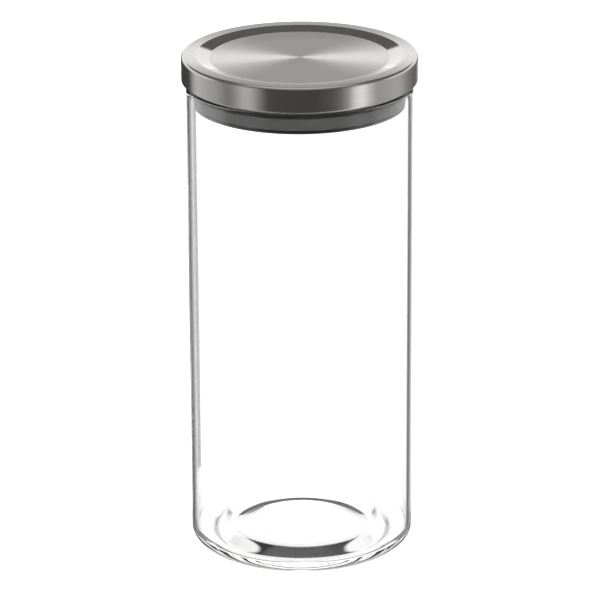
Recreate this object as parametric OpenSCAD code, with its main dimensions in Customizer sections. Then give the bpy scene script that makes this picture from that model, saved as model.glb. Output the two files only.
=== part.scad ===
// Lidded glass canister: a straight glass jar with a push-in steel lid.
// The lid is a drawn steel cap over a steel plug, with a silicone ring around the plug.
// +Z is up, and the origin is the centre of the base, on the surface the jar stands on.

/* [Jar] */
// Outside diameter of the glass
jar_d = 100; // [80:1:130]
// Height of the glass from base to rim
jar_h = 214.4; // [110:0.2:320]
// Thickness of the glass wall
glass_t = 2.3; // [2:0.1:3]
// Thickness of the glass floor above the foot ring
floor_t = 3.9; // [3.4:0.1:6]
// Outside radius of the bottom corner
corner_r = 5.7; // [4.5:0.1:7]
// Inside radius between floor and wall
fillet_r = 4.1; // [3:0.1:5]
// Width of the flat ring that the jar stands on
foot_w = 1.6; // [1:0.1:4]
// Rise of the hollow under the base
hollow_h = 4; // [1:0.1:5]
// Width of the slope around the hollow under the base
hollow_w = 26.2; // [20:0.2:34]
// Height of the floor's raised middle
crown_h = 4.9; // [3:0.1:6]
// Distance from the outside of the glass to the foot of the raised middle
crown_in = 8.3; // [7.5:0.1:12]
// Width of the slope around the raised middle
crown_w = 7.7; // [6:0.1:14]

/* [Cap] */
// Height of the lid's top above the glass rim
lid_rise = 12.6; // [11:0.1:16]
// How far the band stands out past the glass
overhang = 2; // [1.8:0.1:3]
// Gap between the glass rim and the bottom of the band
rim_gap = 1.2; // [0.4:0.1:1.6]
// Thickness of the cap's steel sheet
cap_t = 0.8; // [0.6:0.1:1]
// Radius of the cap's top edge
edge_r = 1.5; // [1.2:0.1:3]
// Width of the land and edge around the recess
land_w = 6.6; // [5.5:0.1:9]
// Width of the sloped bevel
bevel_w = 5.7; // [3:0.1:8]
// Depth of the recessed disc
recess_h = 1.65; // [0.8:0.05:2.5]
// Reach of the hem turned in under the band
hem_w = 2.4; // [2:0.1:2.6]

/* [Plug] */
// Depth of the plug below the glass rim
plug_h = 9.75; // [8.5:0.05:16]
// Thickness of the plug's steel sheet
plug_t = 0.6; // [0.4:0.1:0.8]
// Distance from the glass to the wall of the plug
plug_gap = 3; // [2.5:0.1:3.4]
// Radius of the bead that keeps the seal on
bead_r = 0.75; // [0.6:0.05:0.9]
// Distance from the glass to the bead
bead_gap = 1.5; // [1.3:0.1:1.5]
// Height of the stiffening step in the bottom
step_h = 0.8; // [0.4:0.1:1.2]

/* [Seal] */
// Clearance from the silicone to the glass and to the steel
seal_gap = 0.1; // [0.06:0.02:0.14]
// How far the sleeve narrows towards its bottom
taper = 1.3; // [0.6:0.1:1.4]
// Radius of the edges of the sleeve
seal_edge_r = 0.5; // [0.3:0.1:0.8]
// Depth of the sleeve's top below the glass rim
groove_h = 2.4; // [1.6:0.1:3.6]
// Thickness of the neck between the sleeve and the flange
neck_t = 0.9; // [0.6:0.1:1.2]

/* [Hidden] */
$fn = 96;

arc_steps = 10;
slope_steps = 16;

// Glass radii and levels
jar_r = jar_d / 2;
bore_r = jar_r - glass_t;
rim_r = glass_t / 2;
rim_mid_r = jar_r - rim_r;
rim_mid_z = jar_h - rim_r;
foot_r = jar_r - corner_r;
hollow_r = foot_r - foot_w;
floor_r = bore_r - fillet_r;
crown_r = jar_r - crown_in;

// Cap radii and levels
band_r = jar_r + overhang;
band_in_r = band_r - cap_t;
top_z = jar_h + lid_rise;
hem_z = jar_h + rim_gap;
hem_in_r = band_r - hem_w;
hem_edge_r = cap_t / 2;
land_r = band_r - land_w;
disc_r = land_r - bevel_w;

// Plug radii and levels
flange_z = hem_z + cap_t;
flange_r = band_in_r - 0.05;
plug_r = bore_r - plug_gap;
plug_z = jar_h - plug_h;
bead_mid_r = bore_r - bead_gap - bead_r;
step_r = plug_r - 6;

// Seal radii and levels
seal_in_r = plug_r + seal_gap;
seal_out_r = bore_r - seal_gap;
seal_top_z = flange_z - seal_gap;
seal_low_z = plug_z + 2 * bead_r + seal_gap;
seal_lip_r = hem_in_r - 0.5;
neck_r = seal_in_r + neck_t;
groove_z = jar_h - groove_h;

// Points of an arc around c, in the profile plane of radius and height
function arc(c, r, from, to, steps = arc_steps) =
    [for (i = [0 : steps])
        let (a = from + (to - from) * i / steps)
        c + r * [cos(a), sin(a)]];

// Smooth slope from radius r and level z inwards and up by h, over the width w
function slope(r, w, h, z) =
    [for (i = [0 : slope_steps])
        let (x = i / slope_steps)
        [r - w * x, z + h * (1 - cos(180 * x)) / 2]];

// The same points from last to first
function backwards(points) = [for (i = [len(points) - 1 : -1 : 0]) points[i]];

// Jar: hollow underside, foot ring, corner, wall, round rim, bore, fillet and raised floor
module glass_jar() {
    color([0.86, 0.91, 0.89, 0.35])
    rotate_extrude()
    polygon(concat(
        [[0, hollow_h]],
        backwards(slope(hollow_r, hollow_w, hollow_h, 0)),
        arc([foot_r, corner_r], corner_r, -90, 0),
        arc([rim_mid_r, rim_mid_z], rim_r, 0, 180, 2 * arc_steps),
        arc([floor_r, floor_t + fillet_r], fillet_r, 0, -90),
        slope(crown_r, crown_w, crown_h, floor_t),
        [[0, floor_t + crown_h]]));
}

// Cap: disc, bevel, land, round edge and band outside, then the hem and the same shape inside
module lid_cap() {
    color([0.62, 0.61, 0.59])
    rotate_extrude()
    polygon(concat(
        [[0, top_z - recess_h], [disc_r, top_z - recess_h], [land_r, top_z]],
        arc([band_r - edge_r, top_z - edge_r], edge_r, 90, 0),
        arc([band_r - cap_t, hem_z + cap_t], cap_t, 0, -90),
        arc([hem_in_r + hem_edge_r, hem_z + hem_edge_r], hem_edge_r, -90, -270),
        [[band_in_r, flange_z]],
        arc([band_r - edge_r, top_z - edge_r], edge_r - cap_t, 0, 90),
        [[land_r + 0.1, top_z - cap_t], [disc_r + 0.1, top_z - recess_h - cap_t]],
        [[0, top_z - recess_h - cap_t]]));
}

// Plug: flange, wall and bead outside, then the stepped bottom, and the same shape inside
module lid_plug() {
    color([0.66, 0.66, 0.65])
    rotate_extrude()
    polygon(concat(
        [[flange_r, flange_z + plug_t], [flange_r, flange_z], [plug_r, flange_z]],
        [[plug_r, plug_z + 2 * bead_r]],
        arc([bead_mid_r, plug_z + bead_r], bead_r, 90, -90),
        [[step_r, plug_z], [step_r - step_h, plug_z + step_h], [0, plug_z + step_h]],
        [[0, plug_z + step_h + plug_t], [step_r - step_h - 0.2, plug_z + step_h + plug_t]],
        [[step_r - 0.2, plug_z + plug_t], [plug_r - plug_t, plug_z + plug_t]],
        [[plug_r - plug_t, flange_z + plug_t]]));
}

// Seal: tapered sleeve around the plug's wall, a thin neck, and a flange that lies on the glass rim
module seal_ring() {
    color([0.42, 0.42, 0.42])
    rotate_extrude()
    polygon(concat(
        [[seal_in_r, seal_low_z]],
        arc([seal_out_r - taper - seal_edge_r, seal_low_z + seal_edge_r], seal_edge_r, -90, 0),
        arc([seal_out_r - seal_edge_r, groove_z - seal_edge_r], seal_edge_r, 0, 90),
        [[neck_r, groove_z], [neck_r, jar_h + seal_gap], [seal_lip_r, jar_h + seal_gap]],
        [[seal_lip_r, seal_top_z], [seal_in_r, seal_top_z]]));
}

glass_jar();
lid_cap();
lid_plug();
seal_ring();
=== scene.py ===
"""Lidded glass canister: the visual model and its studio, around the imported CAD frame."""
import math

import bmesh
import bpy
from mathutils import Matrix, Vector


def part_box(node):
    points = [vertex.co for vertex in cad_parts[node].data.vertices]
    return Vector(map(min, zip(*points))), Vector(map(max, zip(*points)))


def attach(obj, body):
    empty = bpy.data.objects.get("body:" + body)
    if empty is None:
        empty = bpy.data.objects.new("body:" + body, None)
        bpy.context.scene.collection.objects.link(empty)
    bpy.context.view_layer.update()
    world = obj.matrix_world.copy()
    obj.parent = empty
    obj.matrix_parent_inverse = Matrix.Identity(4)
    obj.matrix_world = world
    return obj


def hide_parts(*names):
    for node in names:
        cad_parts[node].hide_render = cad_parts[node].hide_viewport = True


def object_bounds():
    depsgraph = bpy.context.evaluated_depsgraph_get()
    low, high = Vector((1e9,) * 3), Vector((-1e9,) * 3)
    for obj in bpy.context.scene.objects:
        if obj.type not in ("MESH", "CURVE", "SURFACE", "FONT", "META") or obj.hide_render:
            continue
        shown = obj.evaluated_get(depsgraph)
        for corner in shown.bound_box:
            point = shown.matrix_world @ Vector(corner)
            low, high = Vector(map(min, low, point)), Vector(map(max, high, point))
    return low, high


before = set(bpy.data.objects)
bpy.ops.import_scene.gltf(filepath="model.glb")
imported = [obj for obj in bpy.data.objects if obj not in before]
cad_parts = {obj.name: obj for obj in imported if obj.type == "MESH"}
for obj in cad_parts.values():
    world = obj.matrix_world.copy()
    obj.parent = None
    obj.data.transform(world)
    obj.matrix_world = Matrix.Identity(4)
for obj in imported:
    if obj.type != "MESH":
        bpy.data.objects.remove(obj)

CAD_LOW, CAD_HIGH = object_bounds()

MM = 0.001
SEGMENTS = 360                  # faces around every turned piece
ARC_STEP = math.radians(6)      # largest turn between two points of an arc
CREASE = math.radians(11)       # a sharper edge than this keeps its line
ON_AXIS = 1e-7                  # a point nearer the axis than this is a pole

# ---------------------------------------------------------------- sizes
JAR_LOW, JAR_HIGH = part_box("glass_jar")
CAP_LOW, CAP_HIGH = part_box("lid_cap")
PLUG_LOW, PLUG_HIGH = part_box("lid_plug")
SEAL_LOW, SEAL_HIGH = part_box("seal_ring")

JAR_R = JAR_HIGH[0]             # outside of the glass
RIM_Z = JAR_HIGH[2]             # top of the glass rim
WALL = 2.3 * MM
BORE_R = JAR_R - WALL
RIM_R = WALL / 2
CORNER_R = 5.7 * MM             # outside bottom corner
FILLET_R = 4.1 * MM             # between floor and wall inside
FLOOR = 3.9 * MM                # glass above the foot ring
FOOT_W = 1.6 * MM
HOLLOW = 4 * MM                 # rise of the underside
HOLLOW_W = 26.2 * MM            # width of the slope that leads up to it
CROWN = 4.9 * MM                # height of the floor's raised middle
CROWN_R = JAR_R - 8.3 * MM
CROWN_W = 7.7 * MM              # width of the slope round it

BAND_R = CAP_HIGH[0]            # outside of the lid's band
TOP_Z = CAP_HIGH[2]
HEM_Z = CAP_LOW[2]
CAP_T = 0.8 * MM                # steel sheet
EDGE_R = 1.5 * MM               # between land and band
HEM_W = 2.4 * MM                # turned in under the band
LAND_R = BAND_R - 6.6 * MM
DISC_R = LAND_R - 5.7 * MM
RECESS = 1.65 * MM              # depth of the disc below the land
BEND_INSET = 0.1 * MM           # the bevel's bends are this much further out on the inside

PLUG_Z = PLUG_LOW[2]
PLUG_T = 0.6 * MM               # steel sheet
FLANGE_R = PLUG_HIGH[0]
FLANGE_Z = HEM_Z + CAP_T
PLUG_R = BORE_R - 3 * MM
BEAD_R = 0.75 * MM              # the bead that keeps the seal on
BEAD_MID_R = BORE_R - BEAD_R - 1.5 * MM
STEP_R = PLUG_R - 6 * MM        # the stiffening step in the bottom
STEP_H = 0.8 * MM
STEP_INSET = 0.2 * MM           # the step's bends are this much further in on the inside

SEAL_GAP = 0.1 * MM             # clearance to the glass and to the steel
SEAL_EDGE = 0.5 * MM            # radius of the sleeve's edges
TAPER = 1.3 * MM                # the sleeve narrows by this towards its bottom
GROOVE = 2.4 * MM               # from the glass rim down to the sleeve
NECK_T = 0.9 * MM               # between the sleeve and the flange


# ---------------------------------------------------------------- turned shapes
def arc(middle, radius, start, end):
    """Points of an arc in the profile plane (radius, height), angles in degrees."""
    steps = max(2, math.ceil(math.radians(abs(end - start)) / ARC_STEP))
    points = []
    for i in range(steps + 1):
        a = math.radians(start + (end - start) * i / steps)
        points.append((middle[0] + radius * math.cos(a), middle[1] + radius * math.sin(a)))
    return points


def slope(radius, width, rise, level, steps=32):
    """A smooth slope that runs inwards and up from a radius and level."""
    return [(radius - width * i / steps, level + rise * (1 - math.cos(math.pi * i / steps)) / 2)
            for i in range(steps + 1)]


def stretch(start, end, steps):
    """Points between two ends, so that long walls have square faces for the shading."""
    return [(start[0] + (end[0] - start[0]) * i / steps, start[1] + (end[1] - start[1]) * i / steps)
            for i in range(1, steps)]


def turned(name, profile):
    """A closed solid of revolution about Z from an outline that goes once round."""
    mesh = bpy.data.meshes.new(name)
    bm = bmesh.new()
    rings = []
    for radius, height in profile:
        if radius < ON_AXIS:
            rings.append([bm.verts.new((0, 0, height))])
            continue
        rings.append([bm.verts.new((radius * math.cos(a), radius * math.sin(a), height))
                      for a in (2 * math.pi * k / SEGMENTS for k in range(SEGMENTS))])
    closed = profile[0][0] >= ON_AXIS
    pairs = list(zip(rings, rings[1:])) + ([(rings[-1], rings[0])] if closed else [])
    for below, above in pairs:
        for k in range(SEGMENTS):
            n = (k + 1) % SEGMENTS
            corners = [below[k % len(below)], below[n % len(below)],
                       above[n % len(above)], above[k % len(above)]]
            corners = list(dict.fromkeys(corners))
            if len(corners) > 2:
                bm.faces.new(corners)
    bmesh.ops.recalc_face_normals(bm, faces=bm.faces)
    bm.to_mesh(mesh)
    bm.free()
    mesh.polygons.foreach_set("use_smooth", [True] * len(mesh.polygons))
    mesh.set_sharp_from_angle(angle=CREASE)
    piece = bpy.data.objects.new(name, mesh)
    bpy.context.collection.objects.link(piece)
    return piece


def jar_profile():
    """Hollow underside, foot ring, corner, wall, round rim, bore, fillet and raised floor."""
    foot_r = JAR_R - CORNER_R
    floor_r = BORE_R - FILLET_R
    rim_mid = (JAR_R - RIM_R, RIM_Z - RIM_R)
    hollow_r = foot_r - FOOT_W
    low = JAR_LOW[2]
    underside = slope(hollow_r, HOLLOW_W, HOLLOW, low)
    inner_floor = slope(CROWN_R, CROWN_W, CROWN, FLOOR)
    middle, floor_middle = (0, low + HOLLOW), (0, FLOOR + CROWN)
    return (
        [middle] + stretch(middle, underside[-1], 12) + underside[::-1]
        + arc((foot_r, low + CORNER_R), CORNER_R, -90, 0)
        + stretch((JAR_R, CORNER_R), (JAR_R, rim_mid[1]), 60)
        + arc(rim_mid, RIM_R, 0, 180)
        + stretch((BORE_R, rim_mid[1]), (BORE_R, FLOOR + FILLET_R), 60)
        + arc((floor_r, FLOOR + FILLET_R), FILLET_R, 0, -90)
        + inner_floor + stretch(inner_floor[-1], floor_middle, 24) + [floor_middle]
    )


def cap_profile():
    """Disc, bevel, land, round edge and band, then the hem and the same shape inside."""
    top_edge = (BAND_R - EDGE_R, TOP_Z - EDGE_R)
    disc_z = TOP_Z - RECESS
    hem_mid = (BAND_R - CAP_T, HEM_Z + CAP_T)
    hem_end = (BAND_R - HEM_W + CAP_T / 2, HEM_Z + CAP_T / 2)
    return (
        [(0, disc_z)] + stretch((0, disc_z), (DISC_R, disc_z), 30)
        + [(DISC_R, disc_z), (LAND_R, TOP_Z)]
        + arc(top_edge, EDGE_R, 90, 0)
        + stretch((BAND_R, top_edge[1]), (BAND_R, hem_mid[1]), 8)
        + arc(hem_mid, CAP_T, 0, -90)
        + arc(hem_end, CAP_T / 2, -90, -270)
        + [(BAND_R - CAP_T, FLANGE_Z)]
        + arc(top_edge, EDGE_R - CAP_T, 0, 90)
        + [(LAND_R + BEND_INSET, TOP_Z - CAP_T), (DISC_R + BEND_INSET, disc_z - CAP_T)]
        + [(0, disc_z - CAP_T)]
    )


def plug_profile():
    """Flange, wall and bead outside, then the stepped bottom and the same shape inside."""
    step_in = STEP_R - STEP_H
    inside = PLUG_R - PLUG_T
    return (
        [(FLANGE_R, FLANGE_Z + PLUG_T), (FLANGE_R, FLANGE_Z), (PLUG_R, FLANGE_Z)]
        + [(PLUG_R, PLUG_Z + 2 * BEAD_R)]
        + arc((BEAD_MID_R, PLUG_Z + BEAD_R), BEAD_R, 90, -90)
        + [(STEP_R, PLUG_Z), (step_in, PLUG_Z + STEP_H), (0, PLUG_Z + STEP_H)]
        + [(0, PLUG_Z + STEP_H + PLUG_T), (step_in - STEP_INSET, PLUG_Z + STEP_H + PLUG_T)]
        + [(STEP_R - STEP_INSET, PLUG_Z + PLUG_T), (inside, PLUG_Z + PLUG_T)]
        + [(inside, FLANGE_Z + PLUG_T)]
    )


def seal_profile():
    """Tapered sleeve, thin neck, and the flange that lies on the glass rim."""
    inner, outer, lip = PLUG_R + SEAL_GAP, BORE_R - SEAL_GAP, SEAL_HIGH[0]
    low, top = SEAL_LOW[2], SEAL_HIGH[2]
    neck, groove, seat = inner + NECK_T, RIM_Z - GROOVE, RIM_Z + SEAL_GAP
    return (
        [(inner, low)]
        + arc((outer - TAPER - SEAL_EDGE, low + SEAL_EDGE), SEAL_EDGE, -90, 0)
        + arc((outer - SEAL_EDGE, groove - SEAL_EDGE), SEAL_EDGE, 0, 90)
        + [(neck, groove), (neck, seat), (lip, seat), (lip, top), (inner, top)]
    )


# ---------------------------------------------------------------- materials
ZONE_SPAN = 0.1                 # a radius is divided by this for the colour ramp
LINE_LOW, LINE_HIGH = 0.3, 0.7  # noise outside this range keeps the end value
BRUSH_WANDER = 0.015            # the roughness varies by this either way from line to line
BRUSH_DEPTH = 0.02 * MM
GRAIN_DEPTH = 0.03 * MM
WAVE_DEPTH = 0.2 * MM


def node_adder(nodes, links):
    """A function that adds a node: inputs are sockets to link or values, and the rest are settings."""
    def add(kind, inputs=None, **settings):
        node = nodes.new("ShaderNode" + kind)
        for key, value in settings.items():
            setattr(node, key, value)
        for key, value in (inputs or {}).items():
            if isinstance(value, bpy.types.NodeSocket):
                links.new(value, node.inputs[key])
            else:
                node.inputs[key].default_value = value
        return node
    return add


def new_material(name):
    """An empty node material with its Principled and output nodes, and what adds to them."""
    material = bpy.data.materials.new(name)
    material.use_nodes = True
    nodes, links = material.node_tree.nodes, material.node_tree.links
    nodes.clear()
    shader = nodes.new("ShaderNodeBsdfPrincipled")
    output = nodes.new("ShaderNodeOutputMaterial")
    links.new(shader.outputs["BSDF"], output.inputs["Surface"])
    return material, shader, output, node_adder(nodes, links), links


def ramp(add, source, stops):
    """A colour ramp through (place, grey or colour) stops."""
    node = add("ValToRGB", {"Fac": source})
    elements = node.color_ramp.elements
    while len(elements) < len(stops):
        elements.new(0.5)
    for element, (place, value) in zip(elements, stops):
        colour = value if isinstance(value, tuple) else (value,) * 3
        element.position = place
        element.color = (*colour, 1)
    return node.outputs["Color"]


def ring_coordinates(add):
    """Object coordinates unrolled: along the section, cosine and sine of the turn, and radius."""
    place = add("TexCoord").outputs["Object"]
    xyz = add("SeparateXYZ", {"Vector": place})
    flat = add("CombineXYZ", {"X": xyz.outputs["X"], "Y": xyz.outputs["Y"], "Z": 0.0})
    radius = add("VectorMath", {0: flat.outputs["Vector"]}, operation="LENGTH").outputs["Value"]
    unit = add("VectorMath", {0: flat.outputs["Vector"]}, operation="NORMALIZE").outputs["Vector"]
    along = add("Math", {0: radius, 1: xyz.outputs["Z"]}, operation="SUBTRACT").outputs["Value"]
    turn = add("SeparateXYZ", {"Vector": unit})
    return along, turn.outputs["X"], turn.outputs["Y"], radius


def ring_noise(add, coordinates, per_metre, turns, detail, seed):
    """Noise drawn out round the axis, as a lathe or a brushing belt leaves it."""
    along, cosine, sine, _ = coordinates
    fine = add("Math", {0: along, 1: per_metre}, operation="MULTIPLY").outputs["Value"]
    fine = add("Math", {0: fine, 1: seed}, operation="ADD").outputs["Value"]
    x = add("Math", {0: cosine, 1: turns}, operation="MULTIPLY").outputs["Value"]
    y = add("Math", {0: sine, 1: turns}, operation="MULTIPLY").outputs["Value"]
    vector = add("CombineXYZ", {"X": fine, "Y": x, "Z": y}).outputs["Vector"]
    noise = add("TexNoise", {"Vector": vector, "Scale": 1.0, "Detail": detail, "Roughness": 0.6})
    return noise.outputs["Fac"]


def steel(name, dark, light, zones, anisotropy, lines_per_metre, bump):
    """Stainless steel with brush lines round the axis; zones give the roughness by radius."""
    material, shader, _, add, links = new_material(name)
    place = ring_coordinates(add)
    lines = ring_noise(add, place, lines_per_metre, turns=1.6, detail=4.0, seed=3.1)
    bands = ring_noise(add, place, lines_per_metre / 9, turns=0.7, detail=2.0, seed=17.4)
    mixed = add("Math", {0: lines, 1: bands}, operation="ADD").outputs["Value"]
    mixed = add("Math", {0: mixed, 1: 0.5}, operation="MULTIPLY").outputs["Value"]
    tone = ramp(add, mixed, [(LINE_LOW, dark), (LINE_HIGH, light)])
    links.new(tone, shader.inputs["Base Color"])
    radius = add("Math", {0: place[3], 1: ZONE_SPAN}, operation="DIVIDE").outputs["Value"]
    finish = ramp(add, radius, [(r / ZONE_SPAN, rough) for r, rough in zones])
    spread = add("MapRange", {"Value": mixed, "From Min": LINE_LOW, "From Max": LINE_HIGH,
                              "To Min": BRUSH_WANDER, "To Max": -BRUSH_WANDER})
    rough = add("Math", {0: finish, 1: spread.outputs["Result"]}, operation="ADD")
    links.new(rough.outputs["Value"], shader.inputs["Roughness"])
    relief = add("Bump", {"Height": lines, "Strength": bump, "Distance": BRUSH_DEPTH})
    links.new(relief.outputs["Normal"], shader.inputs["Normal"])
    tangent = add("Tangent", direction_type="RADIAL", axis="Z")
    links.new(tangent.outputs["Tangent"], shader.inputs["Tangent"])
    shader.inputs["Metallic"].default_value = 1.0
    shader.inputs["Anisotropic"].default_value = anisotropy
    # A quarter turn, so that highlights spread across the brush lines and not along them.
    shader.inputs["Anisotropic Rotation"].default_value = 0.25
    return material


def clear_glass():
    """Borosilicate glass: clear, faintly green in its depth, with slow waves from the drawing."""
    material, shader, output, add, links = new_material("clear_glass")
    shader.inputs["Base Color"].default_value = (1, 1, 1, 1)
    shader.inputs["Transmission Weight"].default_value = 1.0
    shader.inputs["IOR"].default_value = 1.474
    shader.inputs["Roughness"].default_value = 0.0
    place = add("TexCoord").outputs["Object"]
    tall = add("Mapping", {"Vector": place, "Scale": (30.0, 30.0, 9.0)}).outputs["Vector"]
    waves = add("TexNoise", {"Vector": tall, "Scale": 1.0, "Detail": 1.0, "Roughness": 0.4})
    relief = add("Bump", {"Height": waves.outputs["Fac"], "Strength": 0.25, "Distance": WAVE_DEPTH})
    links.new(relief.outputs["Normal"], shader.inputs["Normal"])
    depth = add("VolumeAbsorption", {"Color": (0.86, 0.92, 0.84, 1.0), "Density": 4.0})
    links.new(depth.outputs["Volume"], output.inputs["Volume"])
    return material


def silicone():
    """Satin grey silicone with a fine moulded grain."""
    material, shader, _, add, links = new_material("grey_silicone")
    place = add("TexCoord").outputs["Object"]
    grain = add("TexNoise", {"Vector": place, "Scale": 2600.0, "Detail": 3.0}).outputs["Fac"]
    cloud = add("TexNoise", {"Vector": place, "Scale": 45.0, "Detail": 2.0}).outputs["Fac"]
    dark, light = (0.105, 0.106, 0.103), (0.125, 0.126, 0.122)
    tone = ramp(add, cloud, [(LINE_LOW, dark), (LINE_HIGH, light)])
    links.new(tone, shader.inputs["Base Color"])
    rough = add("MapRange", {"Value": grain, "From Min": LINE_LOW, "From Max": LINE_HIGH,
                             "To Min": 0.42, "To Max": 0.52})
    links.new(rough.outputs["Result"], shader.inputs["Roughness"])
    relief = add("Bump", {"Height": grain, "Strength": 0.15, "Distance": GRAIN_DEPTH})
    links.new(relief.outputs["Normal"], shader.inputs["Normal"])
    return material


# ---------------------------------------------------------------- the canister
# Roughness of the cap by radius: disc, bevel, land, and the band on its outside.
CAP_FINISH = [(0, 0.31), (DISC_R - 0.3 * MM, 0.31), (DISC_R, 0.08), (LAND_R, 0.08),
              (LAND_R + 0.5 * MM, 0.28), (BAND_R - EDGE_R, 0.28), (BAND_R, 0.20)]
PLUG_FINISH = [(0, 0.36)]


def brushed_steel():
    """The cap: bright, with fine lines."""
    return steel("brushed_steel", dark=(0.645, 0.63, 0.615), light=(0.70, 0.685, 0.67),
                 zones=CAP_FINISH, anisotropy=0.9, lines_per_metre=7000, bump=0.12)


def satin_steel():
    """The plug: duller, with coarser lines."""
    return steel("satin_steel", dark=(0.52, 0.52, 0.51), light=(0.64, 0.64, 0.63),
                 zones=PLUG_FINISH, anisotropy=0.6, lines_per_metre=2600, bump=0.2)


def add_piece(name, profile, material, body, node):
    """A turned piece that rides a body and stands for a CAD node."""
    piece = turned(name, profile)
    piece.data.materials.append(material)
    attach(piece, body)
    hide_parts(node)


add_piece("jar_glass", jar_profile(), clear_glass(), "jar", "glass_jar")
add_piece("lid_cap_spun", cap_profile(), brushed_steel(), "lid", "lid_cap")
add_piece("lid_plug_pan", plug_profile(), satin_steel(), "lid", "lid_plug")
add_piece("seal_sleeve", seal_profile(), silicone(), "seal", "seal_ring")


# ---------------------------------------------------------------- camera
CAMERA_DISTANCE = 1.7462
CAMERA_ELEVATION = math.radians(20.12)
CAMERA_ROLL = math.radians(-0.28)
CAMERA_LENS = 234.4
CAMERA_SENSOR = 36
AIM_BELOW_MIDDLE = 1.2 * MM     # the camera looks at a point just off the canister's middle
AIM_LEFT = 0.36 * MM


def add_camera():
    """A long lens in front of the canister, looking slightly down at it."""
    data = bpy.data.cameras.new("camera")
    data.sensor_width = CAMERA_SENSOR
    data.lens = CAMERA_LENS
    camera = bpy.data.objects.new("camera", data)
    bpy.context.collection.objects.link(camera)
    aim = Vector((-AIM_LEFT, 0, (CAD_LOW[2] + CAD_HIGH[2]) / 2 - AIM_BELOW_MIDDLE))
    out = Vector((0, -math.cos(CAMERA_ELEVATION), math.sin(CAMERA_ELEVATION)))
    turn = Matrix.Rotation(math.pi / 2 - CAMERA_ELEVATION, 4, "X")
    camera.matrix_world = (Matrix.Translation(aim + out * CAMERA_DISTANCE) @ turn
                           @ Matrix.Rotation(CAMERA_ROLL, 4, "Z"))
    bpy.context.scene.camera = camera


# ---------------------------------------------------------------- studio
WHITE = 1.7                     # what the eye sees, straight or through the glass
FLOOR_WHITE = 0.35
FLOOR_GLOW = 0.98               # the floor is a light table, so that it stays pale inside the jar
FLOOR_MOTTLE = 0.02
FLOOR_RADIUS = 6.0
FLOOR_DROP = 0.05 * MM          # the floor lies this far under the foot ring

# The set that is mirrored: cards round the horizon, a clear backdrop behind, a ceiling above.
# Levels are brightness, and heights are in degrees above the horizon.
STEEL_CEILING = 0.13
GLASS_CEILING = 0.03
STEEL_TOP = 22.3                # the ceiling starts here for the steel
GLASS_TOP = 30                  # and here for the glass
OVERHEAD = 0.7                  # a softbox straight above, seen in the steel only
OVERHEAD_LOW = 60
STRIP_LOW = 3                   # the backdrop is clear of the side cards above this
STEEL_BACKDROP = 1.1
GLASS_BACKDROP = 1.2
BACK_START, BACK_SOFT = 0.02, 0.12      # Y of a direction where the backdrop starts, and half its edge
WIDE_EDGE, NARROW_EDGE = 0.03, 0.015    # half the soft edge of a level, as a sine
FLAG = (-168.5, -157)           # a dark card that is seen straight through the glass only
FLAG_EDGE = 0.5
FLAG_LEVEL = 0.06

# Brightness round the horizon: degrees from the camera's side, positive to its right.
STEEL_SET = [
    (-180, 1.3), (-171, 1.3), (-168, 0.04), (-134, 0.04), (-128, 0.36), (-120, 0.64), (-104, 0.50),
    (-88, 0.40), (-74, 0.22), (-64, 0.37), (-56, 0.60), (-48, 0.53), (-40, 0.26), (-32, 0.06),
    (16, 0.05), (32, 0.09), (40, 0.15), (48, 0.34), (56, 0.92), (63, 1.1), (72, 0.66),
    (80, 0.40), (104, 0.47), (112, 0.50), (128, 0.26), (144, 0.14), (154, 0.12), (160, 0.35),
    (172, 1.3), (180, 1.3),
]
GLASS_SET = [
    (-180, 1.7), (-169, 1.7), (-168, 0.05), (-159, 0.06), (-155, 0.52), (-150, 0.60), (-146, 0.95),
    (-90, 1.2), (-78, 0.05), (78, 0.05), (90, 1.2), (144, 1.1), (147, 0.6), (150, 0.18),
    (154, 0.12), (158, 0.35), (162, 0.55), (168, 0.8), (172, 1.7), (180, 1.7),
]


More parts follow.
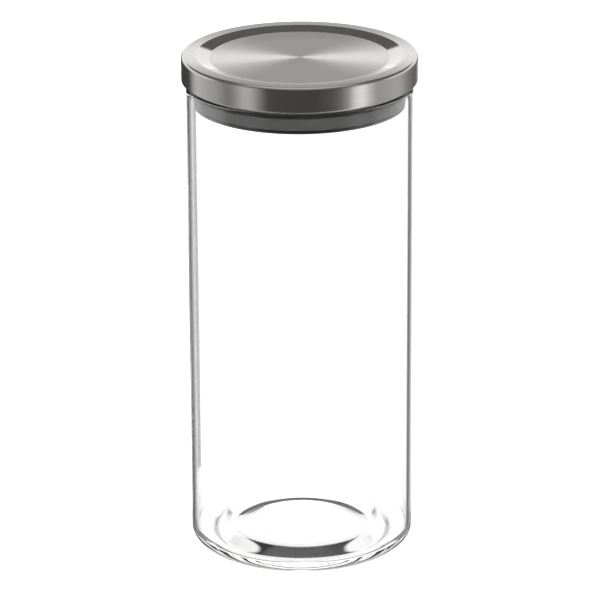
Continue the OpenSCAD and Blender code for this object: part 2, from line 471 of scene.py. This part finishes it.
def add_world():
    """White to the eye and through the glass; in reflections, a set with cards and flags."""
    world = bpy.data.worlds.new("studio")
    bpy.context.scene.world = world
    world.use_nodes = True
    world.cycles.sampling_method = "NONE"
    nodes, links = world.node_tree.nodes, world.node_tree.links
    nodes.clear()
    add = node_adder(nodes, links)

    def mix(factor, first, second):
        return add("Mix", {0: factor, 2: first, 3: second}).outputs[0]

    def above(value, level, soft):
        span = {"Value": value, "From Min": level - soft, "From Max": level + soft}
        return add("MapRange", span).outputs["Result"]

    def higher(degrees, soft):
        return above(height, math.sin(math.radians(degrees)), soft)

    def around(stops):
        return ramp(add, azimuth, [(0.5 + degrees / 360, level) for degrees, level in stops])

    xyz = add("SeparateXYZ", {"Vector": add("TexCoord").outputs["Generated"]})
    x, y, height = (xyz.outputs[k] for k in ("X", "Y", "Z"))
    front = add("Math", {0: y, 1: -1.0}, operation="MULTIPLY").outputs["Value"]
    turned_xyz = add("CombineXYZ", {"X": front, "Y": x, "Z": height}).outputs["Vector"]
    azimuth = add("TexGradient", {"Vector": turned_xyz}, gradient_type="RADIAL").outputs["Fac"]
    path = add("LightPath")
    mirrored = above(path.outputs["Glossy Depth"], 0.5, 0.1)
    through = above(path.outputs["Transmission Depth"], 0.5, 0.1)

    strip = higher(STRIP_LOW, WIDE_EDGE)
    strip = add("Math", {0: above(y, BACK_START, BACK_SOFT), 1: strip}, operation="MULTIPLY")
    strip = strip.outputs["Value"]
    steel_roof = mix(higher(OVERHEAD_LOW, WIDE_EDGE), STEEL_CEILING, OVERHEAD)
    steel_set = mix(strip, around(STEEL_SET), STEEL_BACKDROP)
    steel_set = mix(higher(STEEL_TOP, NARROW_EDGE), steel_set, steel_roof)
    glass_set = mix(strip, around(GLASS_SET), GLASS_BACKDROP)
    glass_set = mix(higher(GLASS_TOP, NARROW_EDGE), glass_set, GLASS_CEILING)
    set_light = mix(through, steel_set, glass_set)

    start, end = FLAG
    flag = around([(-180, 0), (start, 0), (start + FLAG_EDGE, 1), (end - FLAG_EDGE, 1), (end, 0)])
    flag = add("Math", {0: flag, 1: through}, operation="MULTIPLY").outputs["Value"]
    level = mix(mirrored, mix(flag, WHITE, FLAG_LEVEL), set_light)
    colour = add("CombineColor", {"Red": level, "Green": level, "Blue": level})
    background = add("Background", {"Color": colour.outputs["Color"], "Strength": 1.0})
    output = add("OutputWorld")
    links.new(background.outputs["Background"], output.inputs["Surface"])


def add_floor():
    """A pale light table that mirrored rays look past, and rays through the glass too, further out."""
    mesh = bpy.data.meshes.new("floor")
    bm = bmesh.new()
    bmesh.ops.create_circle(bm, cap_ends=True, radius=FLOOR_RADIUS, segments=96)
    bm.to_mesh(mesh)
    bm.free()
    floor = bpy.data.objects.new("floor", mesh)
    floor.location = (0, 0, JAR_LOW[2] - FLOOR_DROP)
    bpy.context.collection.objects.link(floor)
    material, shader, output, add, links = new_material("pale_floor")
    place = add("TexCoord").outputs["Object"]
    cloud = add("TexNoise", {"Vector": place, "Scale": 1.5, "Detail": 2.0}).outputs["Fac"]
    tone = ramp(add, cloud, [(LINE_LOW, FLOOR_WHITE - FLOOR_MOTTLE), (LINE_HIGH, FLOOR_WHITE)])
    links.new(tone, shader.inputs["Base Color"])
    shader.inputs["Emission Color"].default_value = (1, 1, 1, 1)
    shader.inputs["Emission Strength"].default_value = FLOOR_GLOW
    shader.inputs["Roughness"].default_value = 0.9
    shader.inputs["Specular IOR Level"].default_value = 0.0
    path = add("LightPath")
    mirrored = add("Math", {0: path.outputs["Glossy Depth"], 1: 0.5}, operation="GREATER_THAN")
    through = add("Math", {0: path.outputs["Transmission Depth"], 1: 0.5},
                  operation="GREATER_THAN").outputs["Value"]
    away = add("VectorMath", {0: place}, operation="LENGTH").outputs["Value"]
    away = add("Math", {0: away, 1: 2 * JAR_R}, operation="GREATER_THAN").outputs["Value"]
    away = add("Math", {0: away, 1: through}, operation="MULTIPLY").outputs["Value"]
    unseen = add("Math", {0: mirrored.outputs["Value"], 1: away}, operation="MAXIMUM")
    clear = add("BsdfTransparent")
    both = add("MixShader", {0: unseen.outputs["Value"], 1: shader.outputs["BSDF"],
                             2: clear.outputs["BSDF"]})
    links.new(both.outputs["Shader"], output.inputs["Surface"])
    mesh.materials.append(material)


add_camera()
add_world()
add_floor()

scene = bpy.context.scene
scene.view_settings.view_transform = "Standard"
scene.cycles.max_bounces = 24
scene.cycles.transmission_bounces = 24
scene.cycles.glossy_bounces = 12
scene.cycles.transparent_max_bounces = 24
scene.cycles.use_denoising = True
